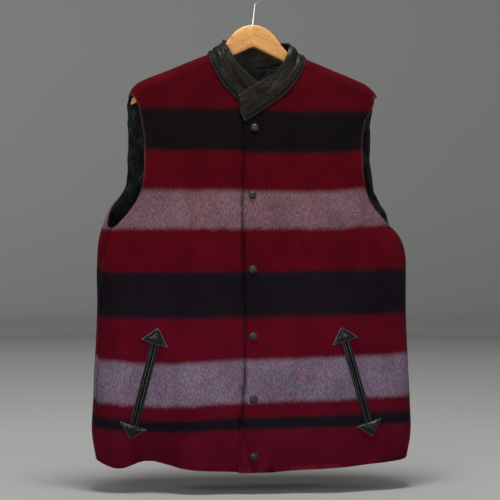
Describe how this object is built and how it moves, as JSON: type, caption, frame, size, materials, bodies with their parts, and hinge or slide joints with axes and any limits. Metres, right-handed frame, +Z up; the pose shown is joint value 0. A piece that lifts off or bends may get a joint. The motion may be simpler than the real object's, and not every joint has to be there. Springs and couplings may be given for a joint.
{
  "type": "vest on a coat hanger",
  "caption": "Sleeveless blanket-wool vest with lapped leather stand collar, slanted leather pockets and snaps, hanging on a wooden coat hanger.",
  "frame": {"origin": "inside the crown of the hanger's hook, on its middle, where a rail carries it", "axes": "+Z up, -Y out of the vest's front, +X to the wearer's left"},
  "size_m": [0.5742, 0.155, 0.8804],
  "materials": {
    "wool": "brushed striped blanket wool",
    "lining": "black quilted satin",
    "leather": "soft black leather with a low gloss",
    "snap_metal": "dark lacquered snap cap",
    "wood": "clear satin lacquer",
    "steel": "bright steel wire"
  },
  "bodies": {
    "root": {"back": "wool", "front_left": "wool", "front_right": "wool", "lining_back": "lining", "lining_front_left": "lining", "lining_front_right": "lining", "collar": "leather", "neck_binding": "leather", "pocket_left_lip_inner": "leather", "pocket_left_lip_outer": "leather", "pocket_left_tab_low": "leather", "pocket_left_tab_top": "leather", "pocket_right_lip_inner": "leather", "pocket_right_lip_outer": "leather", "pocket_right_tab_low": "leather", "pocket_right_tab_top": "leather", "snap_1": "snap_metal", "snap_2": "snap_metal", "snap_3": "snap_metal", "snap_4": "snap_metal", "snap_5": "snap_metal", "snap_6": "snap_metal", "hanger_wood": "wood", "hanger_hook": "steel"}
  },
  "joints": []
}
